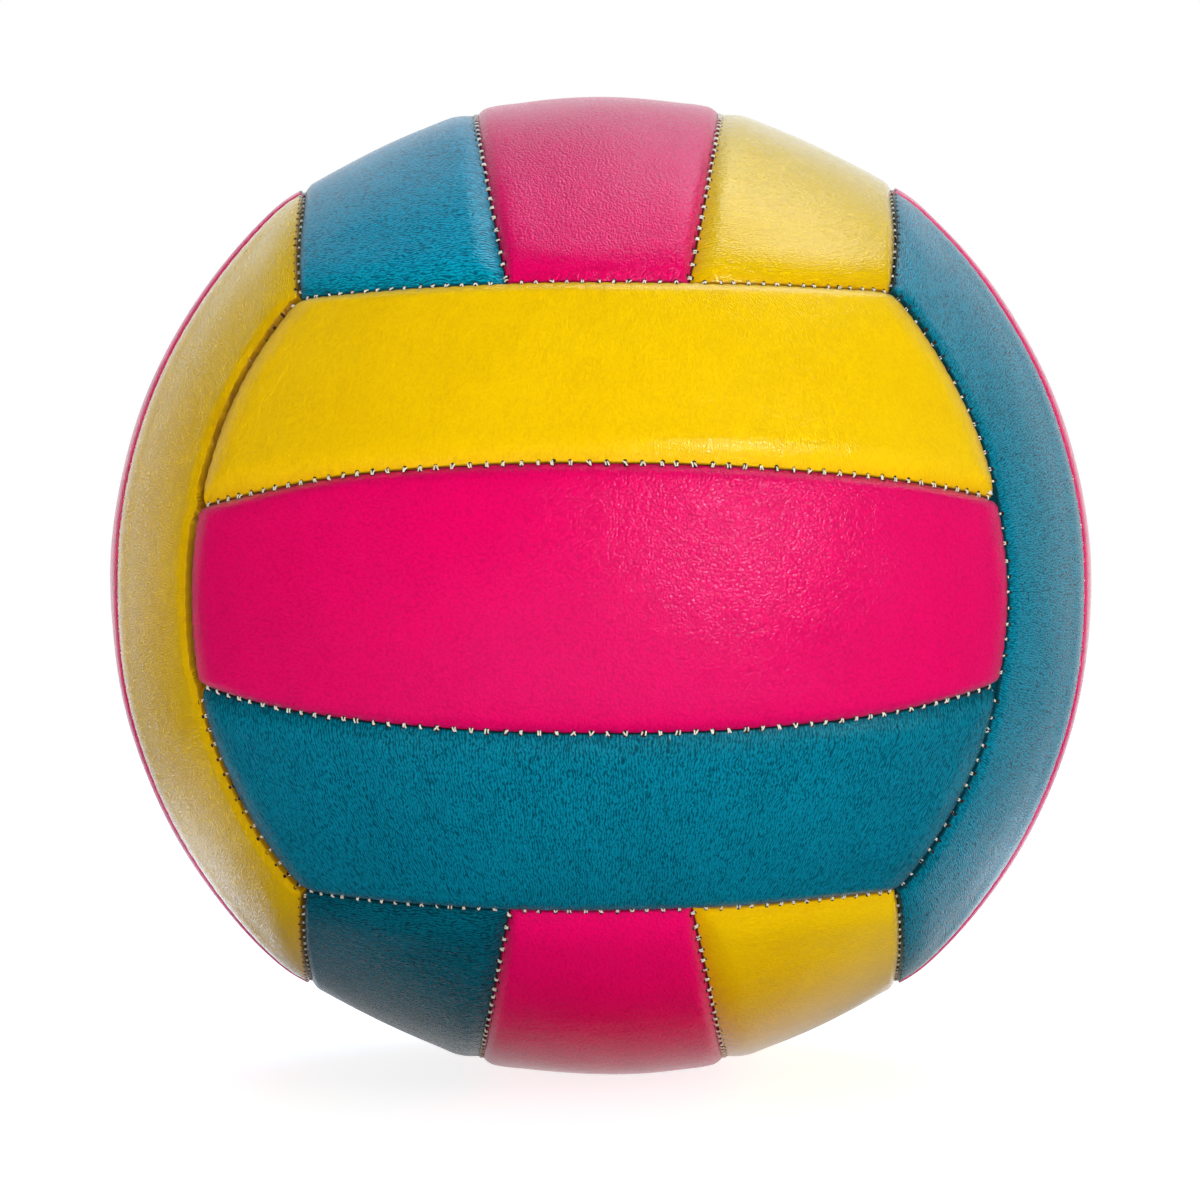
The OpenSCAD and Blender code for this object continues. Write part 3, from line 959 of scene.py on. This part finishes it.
def open_valve_hole(obj):
    """Cuts the round hole for the valve's head through the cover at the back."""
    mesh = bmesh.new()
    mesh.from_mesh(obj.data)
    cut = []
    for face in mesh.faces:
        centre = face.calc_center_median()
        if centre.y > CROWN_R - COVER_T / 2 and math.hypot(centre.x, centre.z) < VALVE_HOLE_CUT:
            cut.append(face)
    bmesh.ops.delete(mesh, geom=cut, context="FACES")
    border = [e for e in mesh.edges if e.is_boundary]
    loops = []
    for depth in (0, VALVE_HOLE_BEVEL, COVER_T):
        radius = VALVE_HOLE_R + (VALVE_HOLE_BEVEL if depth == 0 else 0)
        ring = []
        for k in range(VALVE_HOLE_SIDES):
            turn = 2 * math.pi * k / VALVE_HOLE_SIDES
            ring.append(mesh.verts.new((
                radius * math.cos(turn), CROWN_R - depth, radius * math.sin(turn),
            )))
        loops.append([mesh.edges.new((a, b)) for a, b in zip(ring, ring[1:] + ring[:1])])
    bmesh.ops.bridge_loops(mesh, edges=border + loops[0])
    bmesh.ops.bridge_loops(mesh, edges=loops[0] + loops[1])
    bmesh.ops.bridge_loops(mesh, edges=loops[1] + loops[2])
    for face in mesh.faces:
        face.smooth = True
    bmesh.ops.recalc_face_normals(mesh, faces=mesh.faces)
    mesh.to_mesh(obj.data)
    mesh.free()


def build_ball():
    """All the pieces, each with its place in the frame."""
    for strip in STRIP_LIST:
        piece = cover(strip, MATERIALS[strip.colour])
        if strip.name == "back_middle":
            open_valve_hole(piece)
        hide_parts(f"panel_{strip.name}")
        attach(piece, "root")
    for face in FACES:
        sewn = stitches(face, THREAD)
        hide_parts(f"thread_{face}")
        # Dark discs of painted shade at the needle holes
        holes = hole_shadow_discs(face, HOLE_SHADE)
        for piece in (sewn, holes):
            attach(piece, "root")
    dress_inside()


# Studio

# The photograph: its width, the lens's focal length and the ball's centre beside the middle, in pixels
PHOTO_PX = 1200
FOCAL_PX = 5232
CENTRE_RIGHT_PX = 0.5
CENTRE_UP_PX = PHOTO_PX / 2 - 585.6
SENSOR_WIDTH = 36
CAMERA_DISTANCE = 10.72 * CROWN_R
CAMERA_TILT = 1.58 * DEGREE
CAMERA_ROLL = -0.28 * DEGREE
CAMERA_TURN = -0.14 * DEGREE
# White wall behind the ball, as reflections see it: its start and its full strength, as shares of
# straight behind, and the fade's power
WALL_FADE = (0.45, 0.93, 1.3)
# Parts of the floor that reflections see as white, under the ball and behind it: where each fades
# in from front to back, and where it fades in from the sides
FLOOR_FADES = (((-0.045, -0.012), (0.1, 0.0)), ((0.02, 0.09), (0.28, 0.16)))
FLOOR_HALF_SIZE = 8
# Floor: level of its paint in plain light, and of paint and glow where it is seen as white
FLOOR_PAINT = 0.92
FLOOR_WHITE = 0.6
FLOOR_GLOW = 0.82


def set_camera():
    """The photograph's camera, aimed so that the ball stands where it does there."""
    data = bpy.data.cameras.new("camera")
    data.sensor_width = SENSOR_WIDTH
    data.lens = SENSOR_WIDTH * (FOCAL_PX / PHOTO_PX)
    data.clip_start = 0.01
    data.clip_end = 50
    camera = bpy.data.objects.new("camera", data)
    bpy.context.scene.collection.objects.link(camera)
    turn = (
        Matrix.Rotation(CAMERA_TURN, 3, "Z")
        @ Matrix.Rotation(CAMERA_ROLL, 3, "Y")
        @ Matrix.Rotation(CAMERA_TILT, 3, "X")
    ).transposed()
    pan = Matrix.Rotation(CENTRE_RIGHT_PX / FOCAL_PX, 3, "Z")
    aim = pan @ Matrix.Rotation(-CENTRE_UP_PX / FOCAL_PX, 3, "X")
    right, up, back = (turn @ aim @ Vector(way) for way in ((1, 0, 0), (0, 0, 1), (0, -1, 0)))
    rotation = Matrix((right, up, back)).transposed()
    place = turn @ Vector((0, -CAMERA_DISTANCE, 0))
    camera.matrix_world = Matrix.Translation(place) @ rotation.to_4x4()
    bpy.context.scene.camera = camera


def area_light(name, place, size, power, colour=(1, 1, 1), target=(0, 0, 0)):
    """A rectangular lamp that faces its target."""
    data = bpy.data.lights.new(name, "AREA")
    data.shape = "RECTANGLE"
    data.size, data.size_y = size
    data.energy = power
    data.color = colour
    light = bpy.data.objects.new(name, data)
    bpy.context.scene.collection.objects.link(light)
    away = Vector(place) - Vector(target)
    light.location = place
    light.rotation_euler = away.to_track_quat("Z", "Y").to_euler()
    return light


def shine(light):
    """Makes a lamp one that only shows as a reflection."""
    light.visible_diffuse = False


def glow(light):
    """Makes a lamp one that doesn't show as a reflection."""
    light.visible_glossy = False
    return light


def white_rays(nodes, links):
    """1 for the camera's own rays, and 1 for those that a surface reflects or lets through."""
    seen = nodes.new("ShaderNodeLightPath").outputs
    mirrored = maths(nodes, links, "MAXIMUM", seen["Is Glossy Ray"], seen["Is Transmission Ray"])
    return seen["Is Camera Ray"], mirrored


def parts_of(nodes, links, vector):
    """The X, Y and Z of a vector."""
    made = nodes.new("ShaderNodeSeparateXYZ")
    links.new(vector, made.inputs[0])
    return made.outputs


def fade_in(nodes, links, value, start, end, power=1.0):
    """0 up to the start and 1 from the end on."""
    share = node(nodes, "ShaderNodeMapRange", From_Min=start, From_Max=end)
    links.new(value, share.inputs["Value"])
    return maths(nodes, links, "POWER", share.outputs["Result"], power)


def set_world(strength):
    """A white wall behind the ball that fades out sideways, and a plain level of light for the rest."""
    world = bpy.data.worlds.new("studio")
    bpy.context.scene.world = world
    world.use_nodes = True
    nodes, links = world.node_tree.nodes, world.node_tree.links
    way = parts_of(nodes, links, place_on(nodes, "Generated"))
    wall = fade_in(nodes, links, way["Y"], *WALL_FADE)
    camera, mirrored = white_rays(nodes, links)
    plain = maths(nodes, links, "MULTIPLY", maths(nodes, links, "SUBTRACT", 1.0, mirrored), strength)
    level = maths(nodes, links, "ADD", plain, maths(nodes, links, "MULTIPLY", wall, mirrored))
    links.new(maths(nodes, links, "MAXIMUM", level, camera), nodes["Background"].inputs["Strength"])
    nodes["Background"].inputs["Color"].default_value = (1, 1, 1, 1)


def floor_white(nodes, links):
    """How white the floor is: as the wall behind the ball, and wholly where it fades in near it."""
    solid = place_on(nodes)
    place = parts_of(nodes, links, solid)
    way = node(nodes, "ShaderNodeVectorMath", operation="NORMALIZE")
    links.new(solid, way.inputs[0])
    white = fade_in(nodes, links, parts_of(nodes, links, way.outputs[0])["Y"], *WALL_FADE)
    width = maths(nodes, links, "ABSOLUTE", place["X"])
    for deep, wide in FLOOR_FADES:
        patch = fade_in(nodes, links, place["Y"], *deep)
        patch = maths(nodes, links, "MULTIPLY", patch, fade_in(nodes, links, width, *wide))
        white = maths(nodes, links, "MAXIMUM", white, patch)
    return white


def set_floor():
    """A pale floor that renders white and keeps a soft shadow."""
    material, nodes, links, shader = new_material("floor_white")
    camera, mirrored = white_rays(nodes, links)
    seen = maths(nodes, links, "MAXIMUM", camera, mirrored)
    white = maths(nodes, links, "MAXIMUM", floor_white(nodes, links), camera)
    lit = maths(nodes, links, "MULTIPLY", seen, white)
    shown = nodes.new("ShaderNodeCombineColor")
    for channel in shown.inputs:
        links.new(maths(nodes, links, "MULTIPLY", lit, FLOOR_WHITE), channel)
    paint = mix(nodes, links, seen, (FLOOR_PAINT, FLOOR_PAINT, FLOOR_PAINT, 1), shown.outputs[0])
    links.new(paint, shader.inputs["Base Color"])
    links.new(maths(nodes, links, "MULTIPLY", lit, FLOOR_GLOW), shader.inputs["Emission Strength"])
    shader.inputs["Emission Color"].default_value = (1, 1, 1, 1)
    shader.inputs["Roughness"].default_value = 0.9
    shader.inputs["Specular IOR Level"].default_value = 0.0
    size, level = FLOOR_HALF_SIZE, cad_low[2]
    corners = [(-size, -size, level), (size, -size, level), (size, size, level), (-size, size, level)]
    mesh_object("floor", corners, [[0, 1, 2, 3]], material, smooth=False)


def set_studio():
    """Wall, floor and lamps. Azimuths and elevations are in degrees, distances in metres."""
    set_world(strength=0.33)
    set_floor()
    glow(area_light("key", around(44, 17, 1.2), (0.6, 0.3), 1.4))
    glow(area_light("side", around(84, 10, 1.3), (0.7, 0.8), 2.4))
    glow(area_light("front", around(11, 3, 1.7), (0.9, 0.36), 6.3))
    glow(area_light("overhead", around(175, 75, 1.0), (1.1, 0.7), 7.8, (0.62, 1, 1.55)))
    glow(area_light("warm", around(-78, 5, 1.3), (0.7, 0.8), 1.3, (1, 0.2, 0)))
    bounce = glow(area_light("bounce", (0, -0.62, 0.75), (0.8, 0.2), 8.0, target=(0, -0.62, 0)))
    bounce.data.spread = 40 * DEGREE
    shine(area_light("ceiling", (0.4, 0.3, 1.0), (0.9, 0.86), 6.3, target=(0.4, 0.3, 0)))
    shine(area_light("softbox", around(31, 17, 1.2), (0.22, 0.06), 5.0))
    bpy.context.scene.view_settings.view_transform = "Standard"


set_camera()
set_studio()
build_ball()
